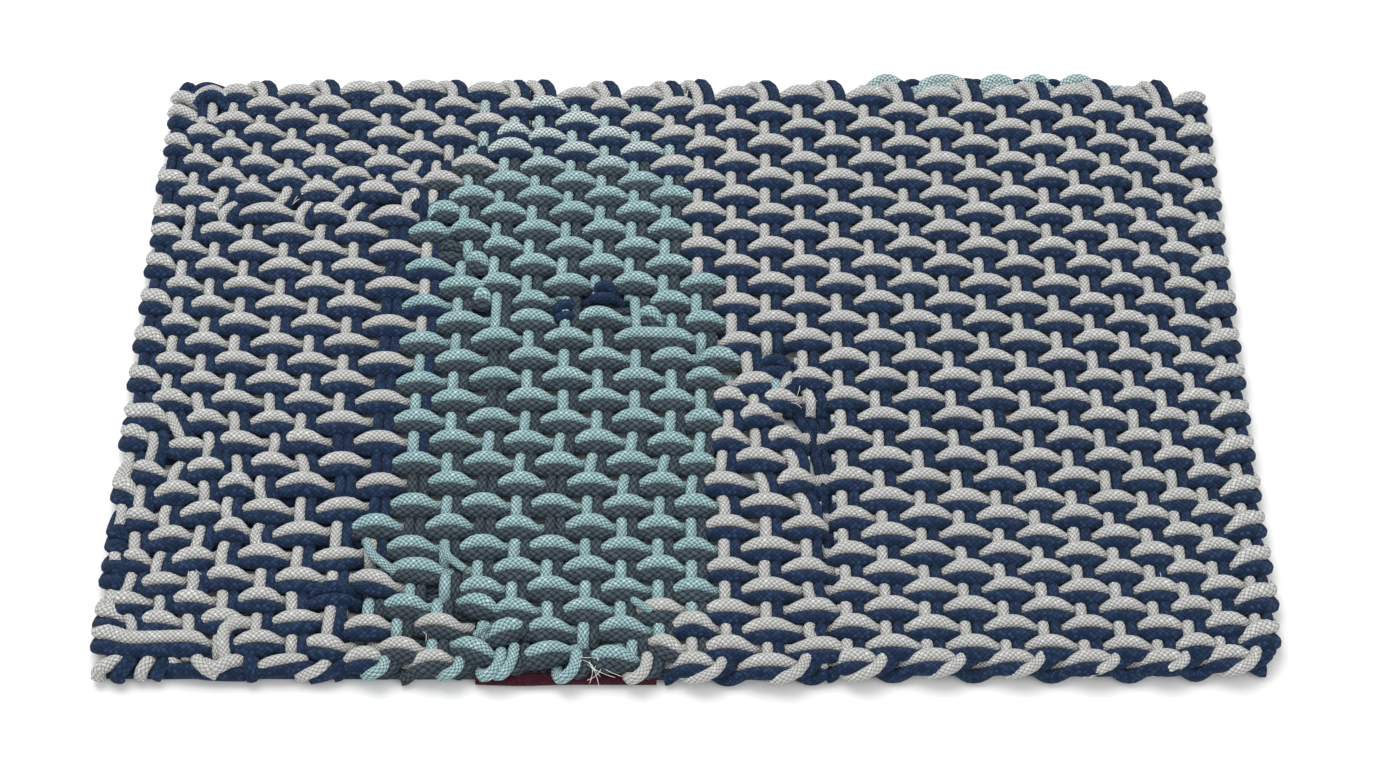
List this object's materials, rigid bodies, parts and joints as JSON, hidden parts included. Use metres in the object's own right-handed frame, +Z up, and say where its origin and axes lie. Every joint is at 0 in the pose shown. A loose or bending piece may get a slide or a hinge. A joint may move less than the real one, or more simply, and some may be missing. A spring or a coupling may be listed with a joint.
{
  "type": "rug woven from pairs of braided cords",
  "caption": "Flat rectangular rug woven over and under from pairs of thick braided cords, which turn back at its edges.",
  "frame": {"origin": "middle of the rug's outline, on the flat underside", "axes": "+X along the weft, to the right as the rug is seen; +Y along the warp, away from the viewer; +Z up"},
  "size_m": [0.914, 0.617, 0.0204],
  "materials": {
    "cord_grey": "braided cotton cord, warm light grey, matt",
    "cord_navy": "braided cotton cord, navy, soft and slightly fuzzy",
    "cord_aqua": "braided cotton cord, pale aqua, matt",
    "cord_charcoal": "coarsely braided cord, charcoal, matt",
    "cord_maroon": "braided cord, maroon, matt"
  },
  "bodies": {
    "root": {"rug_body": "cord_navy"}
  },
  "joints": []
}
